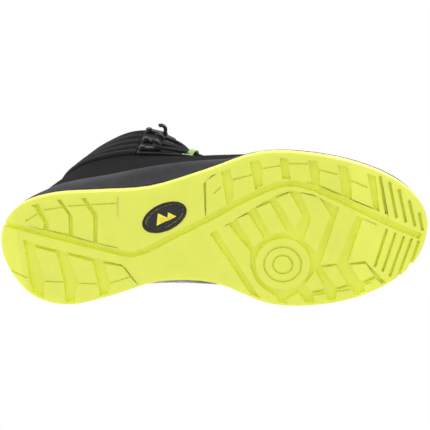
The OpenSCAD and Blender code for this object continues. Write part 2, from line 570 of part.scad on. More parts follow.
// over the tongue from ring s0 on one side to s1 on the other, above or below the other strand
function over(side, s0, s1, high) =
    [for (k = [0:6]) let (s = mix(s0, s1, [0.05, 0.15, 0.3, 0.5, 0.7, 0.85, 0.95][k]),
        x = throat_x(s) / sx * [0.9, 0.68, 0.35, 0, 0.35, 0.68, 0.9][k])
        on(k < 3 ? side : -side, x, s,
            [4, 2.5, 1.4, 1.2, 1.4, 2.5, 4][k] + high * [0.2, 1.8, 3.6, 4.2, 3.6, 1.8, 0.2][k])];
function leg(side, z, y) = at_hook(side, z, [rod_x + curl_r - (abs(y) > 5 ? 4 : 0), y,
    curl_z - (abs(y) > 5 ? 0.5 : 0)]);
function round_hook(side, z) = [for (y = [-6, -2.6, 2.6, 6]) leg(side, z, y)];
function tail(side, drop) = on(side, tail_x, 10.2, -15.5) + [0, drop / 30, -drop];
function half_route(side, high) = let (s = loop_s, u = [for (k = s) 6.5 * per_mm(k)]) concat(
    through(side, 0), over(side, s[0] + u[0], s[1] - u[1], high),
    through(-side, 1), over(-side, s[1] + u[1], s[2] - u[2], high),
    through(side, 2), over(side, s[2] + u[2], 7.9, high),
    [edge(-side, 7.9, 2, 4.2), edge(-side, 7.86, 12, 4.2)], round_hook(-side, hook_z[0]),
    [edge(-side, 8.18, 3, 4.4)], over(-side, 8.18, 8.46, high),
    [edge(side, 8.46, 3, 4.4)], round_hook(side, hook_z[1]),
    [edge(side, 8.85, 3, 4.4), on(side, 31, 9, 3), on(side, 22, 9.35, 1), on(side, 13, 9.7, 1),
        on(side, tail_x, 10, 1), on(side, tail_x, 10.25, 0.8), on(side, tail_x, 10.46, -2),
        on(side, tail_x, 10.5, -8), on(side, tail_x, 10.4, -13), tail(side, 0), tail(side, 12),
        tail(side, 30)]);
function tip_route(side) = [tail(side, 30), tail(side, 48)];
function reverse(v) = [for (i = [len(v) - 1:-1:0]) v[i]];
function lace_route() = concat(reverse(half_route(-1, 0)),
    [on(-1, 7, 6.3, 3.9), on(1, 7, 6.3, 3.9)], half_route(1, 1));
// a round tube of n sides along a route, its first ring carried on without twist
function turn(v, a, b) =
    let (c = cross(a, b), k = a * b) k > 0.99999 ? v : v * k + cross(c, v) + c * (c * v) / (1 + k);
function dirs(r) = [for (i = [0:len(r) - 1]) unit(r[min(i + 1, len(r) - 1)] - r[max(i - 1, 0)])];
function carry(d, v, i = 0) = i == len(d) ? [] :
    concat([v], carry(d, i + 1 < len(d) ? turn(v, d[i], d[i + 1]) : v, i + 1));
module tube(route, r, n = 8) {
    d = dirs(route);
    side = carry(d, unit(cross(d[0], [0.3, 1, 0.2])));
    m = len(route);
    p = [for (i = [0:m - 1], k = [0:n - 1]) let (a = 360 * k / n)
        route[i] + r * (cos(a) * side[i] + sin(a) * cross(d[i], side[i]))];
    polyhedron(p, concat([[for (k = [0:n - 1]) k]],
        [for (i = [0:m - 2], k = [0:n - 1]) let (l = (k + 1) % n)
            each [[i * n + k, (i + 1) * n + k, (i + 1) * n + l], [i * n + k, (i + 1) * n + l, i * n + l]]],
        [[for (k = [n - 1:-1:0]) (m - 1) * n + k]]));
}
module lace() { color([0.1, 0.1, 0.1]) tube(lace_route(), lace_r); }
module lace_tips() {
    color([0.2, 0.2, 0.2]) for (side = [-1, 1]) tube(tip_route(side), lace_r * 0.8);
}

outsole();
outsole_badge();
midsole();
insole_board();
shank();
puncture_plate();
footbed();
lining();
toe_cap();
heel_stiffener();
vamp();
toe_guard();
quarter_lateral();
quarter_medial();
heel_seam_tape();
eyestay_lateral();
eyestay_medial();
collar_padding();
collar_binding();
heel_pull_loop();
tongue();
lace_loops();
loop_rivets();
lace_hooks();
hook_rivets();
lace();
lace_tips();
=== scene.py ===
import math

import bmesh
import bpy
import numpy as np
from mathutils import Matrix, Vector
from mathutils.bvhtree import BVHTree


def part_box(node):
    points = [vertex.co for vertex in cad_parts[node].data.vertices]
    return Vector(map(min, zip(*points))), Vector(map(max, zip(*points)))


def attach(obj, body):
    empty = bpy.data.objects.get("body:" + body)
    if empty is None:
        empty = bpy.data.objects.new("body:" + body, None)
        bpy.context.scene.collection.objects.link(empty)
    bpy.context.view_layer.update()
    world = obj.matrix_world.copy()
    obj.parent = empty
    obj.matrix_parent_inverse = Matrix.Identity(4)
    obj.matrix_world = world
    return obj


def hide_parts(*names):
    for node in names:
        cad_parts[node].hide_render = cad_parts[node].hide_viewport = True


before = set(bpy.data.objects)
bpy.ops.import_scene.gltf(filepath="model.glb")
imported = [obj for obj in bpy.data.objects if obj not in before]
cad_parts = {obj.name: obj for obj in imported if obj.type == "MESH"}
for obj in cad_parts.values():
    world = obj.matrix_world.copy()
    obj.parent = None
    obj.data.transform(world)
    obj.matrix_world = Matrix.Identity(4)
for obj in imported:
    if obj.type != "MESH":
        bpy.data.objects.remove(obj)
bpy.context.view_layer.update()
bpy.ops.object.select_all(action="DESELECT")
scene = bpy.context.scene

# ---- Camera --------------------------------------------------------------------------
# The boot is looked at from below its lateral side, with the toe to the right and the
# heel to the left.
lens_at = Vector((-0.20435, -0.06876, -0.58725))
picture_right = Vector((0.0830, -0.9933, 0.0807))
picture_up = Vector((-0.9486, -0.0539, 0.3120))
sight = Vector((0.3055, 0.1024, 0.9467))
camera_data = bpy.data.cameras.new("camera")
camera_data.sensor_width = 36
camera_data.lens = 73.67
camera_data.clip_start = 0.01
camera = bpy.data.objects.new("camera", camera_data)
scene.collection.objects.link(camera)
camera.matrix_world = Matrix.Translation(lens_at) @ Matrix(
    (picture_right, picture_up, -sight)).transposed().to_4x4()
scene.camera = camera
scene.view_settings.view_transform = "Standard"

# ---- Studio --------------------------------------------------------------------------
# A plain pale floor that the boot stands on, open from below like a sheet of glass, a
# white room, and large soft lamps under and over the boot.
floor_size = 40
floor_drop = 0.0006
bpy.ops.mesh.primitive_plane_add(size=floor_size, location=(0, 0, -floor_drop))
floor = bpy.context.object
floor.name = "studio_floor"
floor.visible_diffuse = False
floor.visible_glossy = False
floor.visible_transmission = False
floor_paint = bpy.data.materials.new("studio_floor")
floor_paint.use_nodes = True
floor_nodes = floor_paint.node_tree.nodes
floor_links = floor_paint.node_tree.links
floor_top = floor_nodes["Principled BSDF"]
floor_top.inputs["Base Color"].default_value = (0.86, 0.86, 0.865, 1)
floor_top.inputs["Roughness"].default_value = 0.75
floor_side = floor_nodes.new("ShaderNodeNewGeometry")
floor_clear = floor_nodes.new("ShaderNodeBsdfTransparent")
floor_mix = floor_nodes.new("ShaderNodeMixShader")
floor_links.new(floor_side.outputs["Backfacing"], floor_mix.inputs[0])
floor_links.new(floor_top.outputs[0], floor_mix.inputs[1])
floor_links.new(floor_clear.outputs[0], floor_mix.inputs[2])
floor_links.new(floor_mix.outputs[0], floor_nodes["Material Output"].inputs["Surface"])
floor.data.materials.append(floor_paint)

room = bpy.data.worlds.new("white_room")
scene.world = room
room.use_nodes = True
room_nodes = room.node_tree.nodes
room_light = room_nodes["Background"]
room_light.inputs["Color"].default_value = (1, 1, 1, 1)
room_ray = room_nodes.new("ShaderNodeLightPath")
room_level = room_nodes.new("ShaderNodeMapRange")
room_level.inputs["To Min"].default_value = 0.84
room_level.inputs["To Max"].default_value = 1.0
room.node_tree.links.new(room_ray.outputs["Is Camera Ray"], room_level.inputs["Value"])
room.node_tree.links.new(room_level.outputs[0], room_light.inputs["Strength"])

boot_middle = Vector((0, 0, 0.06))
# each lamp: where it hangs in metres, its diameter in metres, its power in watts
for lamp_at, lamp_size, lamp_power in (
    ((-0.95, -0.45, -0.75), 0.9, 26.0),
    ((0.30, 0.35, -1.1), 1.0, 22.0),
    ((-0.8, -0.7, 1.0), 0.9, 14.0),
    ((0.9, 0.3, 0.9), 0.9, 14.0),
    ((-0.2, 1.1, 0.5), 0.8, 8.0),
):
    bpy.ops.object.light_add(type="AREA", location=lamp_at)
    lamp = bpy.context.object
    lamp.data.shape = "DISK"
    lamp.data.size = lamp_size
    lamp.data.energy = lamp_power
    beam = boot_middle - Vector(lamp_at)
    lamp.rotation_euler = beam.to_track_quat("-Z", "Y").to_euler()

# ---- Outsole -------------------------------------------------------------------------
# The lime tread is one moulding of satin polyurethane rubber, cast on to the midsole: flat
# blocks between wide grooves, a smooth channel and shank, and a disc under the ball.
def tone(red, green, blue):
    """A dye colour given from 0 to 255, as the linear colour a shader takes."""
    parts = [v / 255 for v in (red, green, blue)]
    linear = [v / 12.92 if v < 0.0405 else ((v + 0.055) / 1.055) ** 2.4 for v in parts]
    return tuple(linear) + (1,)


def substance(name, colour, roughness, **sockets):
    """A new material with its colour, gloss and any other sockets set."""
    made = bpy.data.materials.new(name)
    made.use_nodes = True
    shader = made.node_tree.nodes["Principled BSDF"]
    shader.inputs["Base Color"].default_value = colour
    shader.inputs["Roughness"].default_value = roughness
    for socket, value in sockets.items():
        shader.inputs[socket.replace("_", " ")].default_value = value
    return made


def node(made, kind, **values):
    """Adds a node to a material and sets its properties and sockets."""
    new = made.node_tree.nodes.new("ShaderNode" + kind)
    for key, value in values.items():
        if hasattr(new, key):
            setattr(new, key, value)
        else:
            new.inputs[key.replace("_", " ")].default_value = value
    return new


def wire(made, source, target):
    """Joins an output to an input inside a material."""
    made.node_tree.links.new(source, target)


def shader_of(made):
    """The surface shader of a material."""
    return made.node_tree.nodes["Principled BSDF"]


def place(made):
    """The position on the piece, in metres, as a texture reads it."""
    return node(made, "TexCoord").outputs["Object"]


def mottle(made, first, second, size, detail=3):
    """Lets a material's colour drift between two close tones."""
    cloud = node(made, "TexNoise", Scale=1 / size, Detail=detail, Roughness=0.6)
    wire(made, place(made), cloud.inputs["Vector"])
    ramp = node(made, "ValToRGB")
    ramp.color_ramp.elements[0].position = 0.35
    ramp.color_ramp.elements[0].color = first
    ramp.color_ramp.elements[1].position = 0.65
    ramp.color_ramp.elements[1].color = second
    wire(made, cloud.outputs["Fac"], ramp.inputs["Fac"])
    wire(made, ramp.outputs["Color"], shader_of(made).inputs["Base Color"])
    return ramp


def raised(made, height, depth):
    """Adds a relief of that depth in metres on top of any the material has."""
    bump = node(made, "Bump", Strength=1.0, Distance=depth)
    wire(made, height, bump.inputs["Height"])
    normal = shader_of(made).inputs["Normal"]
    if normal.links:
        wire(made, normal.links[0].from_socket, bump.inputs["Normal"])
    wire(made, bump.outputs["Normal"], normal)


def grain(made, size, depth, detail=4, stretch=(1, 1, 1)):
    """A fine moulded grain."""
    turn = node(made, "Mapping", Scale=stretch)
    wire(made, place(made), turn.inputs["Vector"])
    cloud = node(made, "TexNoise", Scale=1 / size, Detail=detail, Roughness=0.55)
    wire(made, turn.outputs[0], cloud.inputs["Vector"])
    raised(made, cloud.outputs["Fac"], depth)


def sheen_drift(made, size, low, high):
    """Lets the roughness wander a little, as handling leaves it."""
    cloud = node(made, "TexNoise", Scale=1 / size, Detail=2.0)
    wire(made, place(made), cloud.inputs["Vector"])
    span = node(made, "MapRange", From_Min=0.3, From_Max=0.7, To_Min=low, To_Max=high)
    wire(made, cloud.outputs["Fac"], span.inputs["Value"])
    wire(made, span.outputs[0], shader_of(made).inputs["Roughness"])


def pick(piece):
    """Makes a piece the only one chosen."""
    bpy.ops.object.select_all(action="DESELECT")
    piece.select_set(True)
    bpy.context.view_layer.objects.active = piece


def edit(piece):
    """Opens a piece for editing with all of it selected."""
    pick(piece)
    bpy.ops.object.mode_set(mode="EDIT")
    bpy.ops.mesh.select_mode(type="VERT")
    bpy.ops.mesh.select_all(action="SELECT")


def done():
    """Closes the piece that was opened for editing."""
    bpy.ops.object.mode_set(mode="OBJECT")


def cut_from(source, name, body="boot"):
    """A merged copy of a solid, to be finished as the visible piece."""
    solid = bpy.data.objects[source]
    piece = bpy.data.objects.new(name, solid.data.copy())
    scene.collection.objects.link(piece)
    piece.data.materials.clear()
    edit(piece)
    bpy.ops.mesh.remove_doubles(threshold=0.00001)
    done()
    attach(piece, body)
    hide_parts(source)
    return piece


def apply_all(piece):
    """Turns every modifier of a piece into its shape."""
    pick(piece)
    for modifier in list(piece.modifiers):
        bpy.ops.object.modifier_apply(modifier=modifier.name)


def merge_flat(piece, angle):
    """Joins faces that lie within an angle in degrees of one plane."""
    edit(piece)
    bpy.ops.mesh.dissolve_limited(angle_limit=math.radians(angle))
    done()


def soften(piece, width, segments, angle):
    """Rounds the edges of a moulding that are sharper than an angle in degrees."""
    rounding = piece.modifiers.new("rounding", "BEVEL")
    rounding.width = width
    rounding.segments = segments
    rounding.limit_method = "ANGLE"
    rounding.angle_limit = math.radians(angle)
    rounding.use_clamp_overlap = True
    rounding.harden_normals = False
    apply_all(piece)


def smooth(piece, angle=40):
    """Shades a piece smoothly but for edges sharper than an angle in degrees."""
    pick(piece)
    bpy.ops.object.shade_smooth_by_angle(angle=math.radians(angle))


def flatten_shading(piece):
    """Lets the large faces of a moulding set the shading of its rounded edges."""
    weighting = piece.modifiers.new("weighting", "WEIGHTED_NORMAL")
    weighting.keep_sharp = True
    weighting.weight = 100
    apply_all(piece)


toe_rise_from = -0.070
toe_rise_radius = 0.290
heel_rise_from = 0.136
heel_rise_radius = 0.040
tread_depth = 0.0035


def ground_at(y):
    """The height of the tread's lowest faces: flat, and curving up at the toe and heel."""
    toe_rise = max(toe_rise_from - y, 0) ** 2 / (2 * toe_rise_radius)
    return toe_rise + max(y - heel_rise_from, 0) ** 2 / (2 * heel_rise_radius)


outsole = cut_from("outsole", "outsole_tread")
merge_flat(outsole, 0.4)
soften(outsole, 0.0006, 2, 38)
deep = outsole.data.attributes.new("deep", "FLOAT", "POINT")
for vertex in outsole.data.vertices:
    deep.data[vertex.index].value = (vertex.co.z - ground_at(vertex.co.y)) / tread_depth
smooth(outsole, 50)
flatten_shading(outsole)

lime_rubber = substance("lime_rubber", tone(236, 243, 90), 0.46, Specular_IOR_Level=0.4,
                        Coat_Weight=0.08, Coat_Roughness=0.3, Subsurface_Weight=0.35,
                        Subsurface_Radius=(0.9, 1.0, 0.35), Subsurface_Scale=0.004)
lime_depth = node(lime_rubber, "Attribute", attribute_name="deep")
lime_ramp = node(lime_rubber, "ValToRGB")
# from the blocks at 0, over their walls, to the groove floors at 0.5 and the sides above; the
# groove floors are painted lighter, painted light against the shade that falls in the grooves
lime_ramp.color_ramp.elements[0].color = tone(240, 247, 100)
lime_ramp.color_ramp.elements[1].color = tone(242, 249, 118)
# painted light: groove floors a little lighter than the blocks, to offset the shade in the
# grooves
groove_painted_light = tone(245, 252, 96)
for stop, dye in ((0.47, groove_painted_light), (0.53, groove_painted_light), (0.62, tone(238, 247, 108))):
    lime_ramp.color_ramp.elements.new(stop).color = dye
lime_half = node(lime_rubber, "Math", operation="MULTIPLY")
lime_half.inputs[1].default_value = 0.5
wire(lime_rubber, lime_depth.outputs["Fac"], lime_half.inputs[0])
wire(lime_rubber, lime_half.outputs[0], lime_ramp.inputs["Fac"])
lime_cloud = node(lime_rubber, "TexNoise", Scale=60.0, Detail=4.0)
wire(lime_rubber, place(lime_rubber), lime_cloud.inputs["Vector"])
lime_tint = node(lime_rubber, "MapRange", From_Min=0.3, From_Max=0.7, To_Min=0.965, To_Max=1.02)
wire(lime_rubber, lime_cloud.outputs["Fac"], lime_tint.inputs["Value"])
lime_mix = node(lime_rubber, "VectorMath", operation="SCALE")
wire(lime_rubber, lime_ramp.outputs["Color"], lime_mix.inputs[0])
wire(lime_rubber, lime_tint.outputs[0], lime_mix.inputs["Scale"])
wire(lime_rubber, lime_mix.outputs[0], shader_of(lime_rubber).inputs["Base Color"])
grain(lime_rubber, 0.0011, 0.00006)
sheen_drift(lime_rubber, 0.03, 0.40, 0.54)
outsole.data.materials.append(lime_rubber)

# ---- Badge in the shank --------------------------------------------------------------
# An oval inlay of dark rubber is glued into a pocket of the shank. It carries a moulded
# ring and a plain pair of yellow peaks.
badge_rubber = substance("badge_rubber", tone(16, 16, 19), 0.45, Specular_IOR_Level=0.2)
mottle(badge_rubber, tone(12, 12, 15), tone(21, 21, 24), 0.004)
grain(badge_rubber, 0.0006, 0.00004)


def coat(source, stuff):
    """Gives a solid that keeps its own shape its finished material."""
    for slot in bpy.data.objects[source].material_slots:
        slot.material = stuff


coat("outsole_badge", badge_rubber)

badge_turn = math.radians(66)
badge_low, badge_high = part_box("outsole_badge")
badge_middle = (Vector(badge_low) + Vector(badge_high)) / 2
badge_face = badge_low[2]
along_badge = Vector((-math.cos(badge_turn), -math.sin(badge_turn), 0))
across_badge = Vector((-math.sin(badge_turn), math.cos(badge_turn), 0))
peak_height = 0.0006
peaks = []
# each peak: its place along and across the oval, and its radius
for along, across, radius in ((-0.0026, -0.0004, 0.0052), (0.0042, -0.0016, 0.0036)):
    spot = badge_middle + along_badge * along + across_badge * across
    bpy.ops.mesh.primitive_cylinder_add(
        vertices=3, radius=radius, depth=peak_height, location=(spot.x, spot.y, badge_face),
        rotation=(0, 0, badge_turn), scale=(1.25, 1, 1))
    bpy.ops.object.transform_apply(location=True, rotation=True, scale=True)
    peak = bpy.context.object
    edit(peak)
    bpy.ops.mesh.bevel(offset=0.00022, segments=2, affect="EDGES")
    done()
    peaks.append(peak)
bpy.ops.object.select_all(action="DESELECT")
for peak in peaks:
    peak.select_set(True)
bpy.context.view_layer.objects.active = peaks[0]
bpy.ops.object.join()
badge_peaks = bpy.context.object
badge_peaks.name = "badge_peaks"
smooth(badge_peaks)
badge_yellow = substance("badge_yellow", tone(238, 222, 60), 0.5)
mottle(badge_yellow, tone(232, 214, 52), tone(242, 228, 70), 0.002)
grain(badge_yellow, 0.0004, 0.00003)
badge_peaks.data.materials.append(badge_yellow)
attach(badge_peaks, "boot")

# ---- Midsole -------------------------------------------------------------------------
# The dark grey midsole is cast polyurethane foam. Its rim stands round the upper, and a pale
# painted highlight line runs along its top edge.
quad_fold, quad_skew = math.radians(60), math.radians(120)


def sewn(source, name, body="boot", levels=2, edge=0.75, sharp=48):
    """A smooth copy of a moulded or sewn shell, with its edges kept crisp."""
    piece = cut_from(source, name, body)
    edit(piece)
    bpy.ops.mesh.tris_convert_to_quads(face_threshold=quad_fold, shape_threshold=quad_skew)
    done()
    work = bmesh.new()
    work.from_mesh(piece.data)
    crease = work.edges.layers.float.new("crease_edge")
    for side in work.edges:
        if len(side.link_faces) == 2 and side.calc_face_angle(0) > math.radians(sharp):
            side[crease] = edge
    work.to_mesh(piece.data)
    work.free()
    rounding = piece.modifiers.new("rounding", "SUBSURF")
    rounding.levels = rounding.render_levels = levels
    apply_all(piece)
    smooth(piece, 60)
    return piece


midsole = sewn("midsole", "midsole_foam", edge=0.8)
sole_half = 0.154
rim_scale = 0.05
rim_steps = 24
rim_tops = [0.0] * (rim_steps + 1)
for vertex in bpy.data.objects["midsole"].data.vertices:
    step = round((vertex.co.y + sole_half) / (2 * sole_half) * rim_steps)
    if 0 <= step <= rim_steps:
        rim_tops[step] = max(rim_tops[step], vertex.co.z)
foam = substance("midsole_foam", tone(46, 45, 50), 0.64, Specular_IOR_Level=0.22)
foam_place = node(foam, "SeparateXYZ")
wire(foam, place(foam), foam_place.inputs[0])
foam_along = node(foam, "MapRange", From_Min=-sole_half, From_Max=sole_half, To_Min=0.0,
                  To_Max=1.0)
wire(foam, foam_place.outputs["Y"], foam_along.inputs["Value"])
foam_curve = node(foam, "FloatCurve")
curve_points = foam_curve.mapping.curves[0].points
for step, top in enumerate(rim_tops):
    height = top / rim_scale
    if step == 0:
        curve_points[0].location = (0, height)
    elif step == rim_steps:
        curve_points[1].location = (1, height)
    else:
        curve_points.new(step / rim_steps, height)
foam_curve.mapping.update()
wire(foam, foam_along.outputs[0], foam_curve.inputs["Value"])
foam_top = node(foam, "Math", operation="MULTIPLY_ADD")
foam_top.inputs[1].default_value = -rim_scale
wire(foam, foam_curve.outputs[0], foam_top.inputs[0])
wire(foam, foam_place.outputs["Z"], foam_top.inputs[2])
# the painted highlight line begins 1.8 mm under the rim
rim_highlight_mask = node(foam, "MapRange", From_Min=-0.0018, From_Max=-0.0010, To_Min=0.0, To_Max=1.0)
wire(foam, foam_top.outputs[0], rim_highlight_mask.inputs["Value"])
foam_ramp = mottle(foam, tone(42, 41, 46), tone(51, 50, 55), 0.006)
rim_highlight_mix = node(foam, "Mix", data_type="RGBA")
colour_below, colour_above, colour_out = 6, 7, 2
wire(foam, rim_highlight_mask.outputs[0], rim_highlight_mix.inputs["Factor"])
wire(foam, foam_ramp.outputs["Color"], rim_highlight_mix.inputs[colour_below])
# painted highlight: a pale grey over the dark foam along the rim's top edge
rim_highlight_mix.inputs[colour_above].default_value = tone(88, 88, 96)
wire(foam, rim_highlight_mix.outputs[colour_out], shader_of(foam).inputs["Base Color"])
grain(foam, 0.0009, 0.00012)
sheen_drift(foam, 0.02, 0.52, 0.70)
midsole.data.materials.append(foam)

# ---- Inside the sole -----------------------------------------------------------------
# A stitched fibre board, a spring steel shank and a woven puncture-resistant layer are
# stacked between the midsole and the footbed.
board_fibre = substance("board", tone(176, 158, 130), 0.85)
mottle(board_fibre, tone(160, 142, 116), tone(190, 172, 144), 0.003, 5)
grain(board_fibre, 0.0008, 0.0001, 5, (1, 4, 1))
spring_steel = substance("steel", tone(150, 150, 152), 0.32, Metallic=1.0)
mottle(spring_steel, tone(140, 140, 143), tone(165, 165, 168), 0.01, 2)
grain(spring_steel, 0.0006, 0.00003, 2, (14, 1, 1))
plate_weave = substance("plate_textile", tone(226, 220, 200), 0.8)


def weave(made, pitch, depth, dark, light, lean=(0.8, 1.0, 0.0), rise=(0.6, 0.0, 1.0)):
    """A plain weave of that pitch in metres, in relief, its colour darker in the dips of the
    relief and lighter on its crests.
    """
    spot = place(made)
    waves = []
    for course in (lean, rise):
        dot = node(made, "VectorMath", operation="DOT_PRODUCT")
        dot.inputs[1].default_value = [c * 2 * math.pi / pitch for c in course]
        wire(made, spot, dot.inputs[0])
        wave = node(made, "Math", operation="SINE")
        wire(made, dot.outputs["Value"], wave.inputs[0])
        waves.append(wave)
    cross = node(made, "Math", operation="MULTIPLY")
    wire(made, waves[0].outputs[0], cross.inputs[0])
    wire(made, waves[1].outputs[0], cross.inputs[1])
    raised(made, cross.outputs[0], depth)
    ramp = node(made, "ValToRGB")
    ramp.color_ramp.elements[0].color = dark
    ramp.color_ramp.elements[1].color = light
    lift = node(made, "MapRange", From_Min=-1.0, From_Max=1.0, To_Min=0.0, To_Max=1.0)
    wire(made, cross.outputs[0], lift.inputs["Value"])
    wire(made, lift.outputs[0], ramp.inputs["Fac"])
    wire(made, ramp.outputs["Color"], shader_of(made).inputs["Base Color"])


weave(plate_weave, 0.0016, 0.0002, tone(206, 198, 176), tone(232, 226, 208), (1, 0, 0), (0, 1, 0))
coat("insole_board", board_fibre)
coat("shank", spring_steel)
coat("puncture_plate", plate_weave)

# ---- Footbed -------------------------------------------------------------------------
# The loose footbed is moulded foam under a knitted cover. It lies on the insole board and
# lifts out by hand.
footbed = cut_from("footbed", "footbed_foam", "footbed")
merge_flat(footbed, 1)
soften(footbed, 0.0009, 3, 50)
smooth(footbed)
footbed_knit = substance("footbed_foam", tone(58, 60, 64), 0.9, Sheen_Weight=0.25,
                         Sheen_Roughness=0.5)
weave(footbed_knit, 0.0018, 0.00025, tone(44, 46, 50), tone(74, 76, 82), (1, 0.4, 0), (0.4, 1, 0))
grain(footbed_knit, 0.0012, 0.0001)
footbed.data.materials.append(footbed_knit)

# ---- Lining --------------------------------------------------------------------------
# A padded three-layer mesh lining is sewn inside the whole upper and turned over the collar.
lining = sewn("lining", "lining_mesh", levels=1, edge=0.6)
lining_mesh = substance("lining_mesh", tone(52, 53, 56), 0.92, Sheen_Weight=0.3,
                        Sheen_Roughness=0.6)
weave(lining_mesh, 0.0030, 0.00045, tone(30, 31, 33), tone(64, 65, 69))
grain(lining_mesh, 0.0008, 0.0001)
lining.data.materials.append(lining_mesh)

# ---- Stiffeners ----------------------------------------------------------------------
# The safety toe cap and the heel stiffener are pressed composite shells, bonded between
# the lining and the outer fabric.
cap_composite = substance("cap_composite", tone(96, 98, 92), 0.55)
mottle(cap_composite, tone(84, 86, 80), tone(110, 112, 104), 0.004, 4)
grain(cap_composite, 0.0007, 0.00008)
coat("toe_cap", cap_composite)
coat("heel_stiffener", cap_composite)

# ---- Outer fabric --------------------------------------------------------------------
# The vamp and the two quarters are cut from black abrasion-proof ripstop, pulled over the
# last and cemented under the board.
upper_fabric = substance("upper_fabric", tone(22, 22, 24), 0.88, Specular_IOR_Level=0.04,
                         Sheen_Weight=0.005, Sheen_Roughness=0.45)
weave(upper_fabric, 0.0017, 0.00016, tone(22, 22, 23), tone(38, 38, 40))
grain(upper_fabric, 0.004, 0.0003, 3)
vamp = sewn("vamp", "vamp_fabric")
quarter_lateral = sewn("quarter_lateral", "quarter_lateral_fabric")
quarter_medial = sewn("quarter_medial", "quarter_medial_fabric")
for piece in (vamp, quarter_lateral, quarter_medial):
    piece.data.materials.append(upper_fabric)

# ---- Overlays ------------------------------------------------------------------------
# The toe guard, the heel tape and the two eyestays are coated microfibre, glued and sewn
# on the outer fabric.
overlay = substance("overlay", tone(15, 15, 16), 0.6, Specular_IOR_Level=0.2, Coat_Weight=0.02,
                    Coat_Roughness=0.4)
mottle(overlay, tone(11, 11, 12), tone(19, 19, 21), 0.008)
leather_cells = node(overlay, "TexVoronoi", Scale=900.0)
wire(overlay, place(overlay), leather_cells.inputs["Vector"])
raised(overlay, leather_cells.outputs["Distance"], 0.00012)
sheen_drift(overlay, 0.015, 0.44, 0.62)
toe_guard = sewn("toe_guard", "toe_guard_overlay")
heel_tape = sewn("heel_seam_tape", "heel_tape_overlay")
eyestay_lateral = sewn("eyestay_lateral", "eyestay_lateral_overlay")
eyestay_medial = sewn("eyestay_medial", "eyestay_medial_overlay")
for piece in (toe_guard, heel_tape, eyestay_lateral, eyestay_medial):
    piece.data.materials.append(overlay)

# ---- Padded collar -------------------------------------------------------------------
# Five foam-filled ribs run round the collar. The stretch cover is sewn down between them,
# so each rib is blown out between its two seams.
def blow_up(piece, held, limit, pressure):
    """Fills a padded piece: its cloth swells by up to a limit in metres, but not where held."""
    frames = 16
    before = np.array([v.co[:] for v in piece.data.vertices])
    seams = piece.vertex_groups.new(name="seams")
    for vertex in piece.data.vertices:
        seams.add([vertex.index], held(vertex.co), "REPLACE")
    cloth = piece.modifiers.new("filling", "CLOTH")
    cloth.settings.vertex_group_mass = "seams"
    cloth.settings.use_pressure = True
    cloth.settings.uniform_pressure_force = pressure
    cloth.settings.quality = 6
    cloth.settings.mass = 0.004
    cloth.settings.tension_stiffness = 5
    cloth.settings.compression_stiffness = 5
    cloth.settings.bending_stiffness = 0.05
    cloth.settings.effector_weights.gravity = 0
    cloth.collision_settings.use_collision = False
    cloth.point_cache.frame_start = 1
    cloth.point_cache.frame_end = frames
    for number in range(1, frames + 1):
        scene.frame_set(number)
    apply_all(piece)
    scene.frame_set(1)
    piece.vertex_groups.clear()
    after = np.array([v.co[:] for v in piece.data.vertices])
    moved = after - before
    length = np.linalg.norm(moved, axis=1, keepdims=True)
    length[~np.isfinite(length)] = 1e9
    moved = np.nan_to_num(moved) * np.minimum(1, limit / np.maximum(length, 1e-9))
    piece.data.vertices.foreach_set("co", (before + moved).ravel())
    piece.data.update()


collar = sewn("collar_padding", "collar_ribs", levels=1, edge=0.4)
collar_fabric = substance("padding", tone(20, 20, 22), 0.78, Specular_IOR_Level=0.2,
                          Sheen_Weight=0.04, Sheen_Roughness=0.45)
weave(collar_fabric, 0.0013, 0.00012, tone(10, 10, 11), tone(27, 27, 29))
grain(collar_fabric, 0.005, 0.0005, 3)
collar.data.materials.append(collar_fabric)
collar_low, collar_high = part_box("collar_padding")
rib_count = 5
seam_width = 0.16

def collar_seam(spot):
    """Held at the seam lines, which part the collar's height into its ribs."""
    rise = (spot.z - collar_low[2]) / (collar_high[2] - collar_low[2])
    return 1.0 if abs(rise * rib_count - round(rise * rib_count)) < seam_width else 0.0

blow_up(collar, collar_seam, 0.0012, 40.0)

# ---- Collar binding ------------------------------------------------------------------
# A folded stretch tape is sewn over the top edge of the collar.
binding = sewn("collar_binding", "collar_binding_tape", edge=0.4)
binding_tape = substance("binding", tone(24, 24, 26), 0.72, Specular_IOR_Level=0.25,
                         Sheen_Weight=0.05, Sheen_Roughness=0.4)
weave(binding_tape, 0.0011, 0.00015, tone(14, 14, 16), tone(32, 32, 34))
grain(binding_tape, 0.003, 0.0002)
binding.data.materials.append(binding_tape)

# ---- Heel pull loop ------------------------------------------------------------------
# A short loop of black webbing is sewn to the heel tape and under the collar's edge.
pull_loop = cut_from("heel_pull_loop", "heel_pull_webbing")
merge_flat(pull_loop, 1)
soften(pull_loop, 0.0003, 2, 50)
smooth(pull_loop)
webbing_black = substance("webbing_black", tone(24, 24, 26), 0.75, Specular_IOR_Level=0.25,
                          Sheen_Weight=0.05)
weave(webbing_black, 0.0014, 0.00025, tone(13, 13, 14), tone(34, 34, 37), (1, 0, 0), (0, 0.6, 1))
pull_loop.data.materials.append(webbing_black)

# ---- Tongue --------------------------------------------------------------------------
# The padded tongue is foam between fabric and lining, sewn to the vamp at its foot. It tilts
# forward a little when the foot goes in.
tongue = sewn("tongue", "tongue_pad", "tongue", edge=0.3)
tongue_fabric = substance("tongue_fabric", tone(24, 24, 26), 0.8, Specular_IOR_Level=0.2,
                          Sheen_Weight=0.05, Sheen_Roughness=0.45)
weave(tongue_fabric, 0.0015, 0.00016, tone(14, 14, 15), tone(33, 33, 35))
grain(tongue_fabric, 0.006, 0.0006, 3)
tongue.data.materials.append(tongue_fabric)
tongue_low, tongue_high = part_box("tongue")
foot_hem, top_hem, side_hem_from = 0.012, 0.006, 0.020

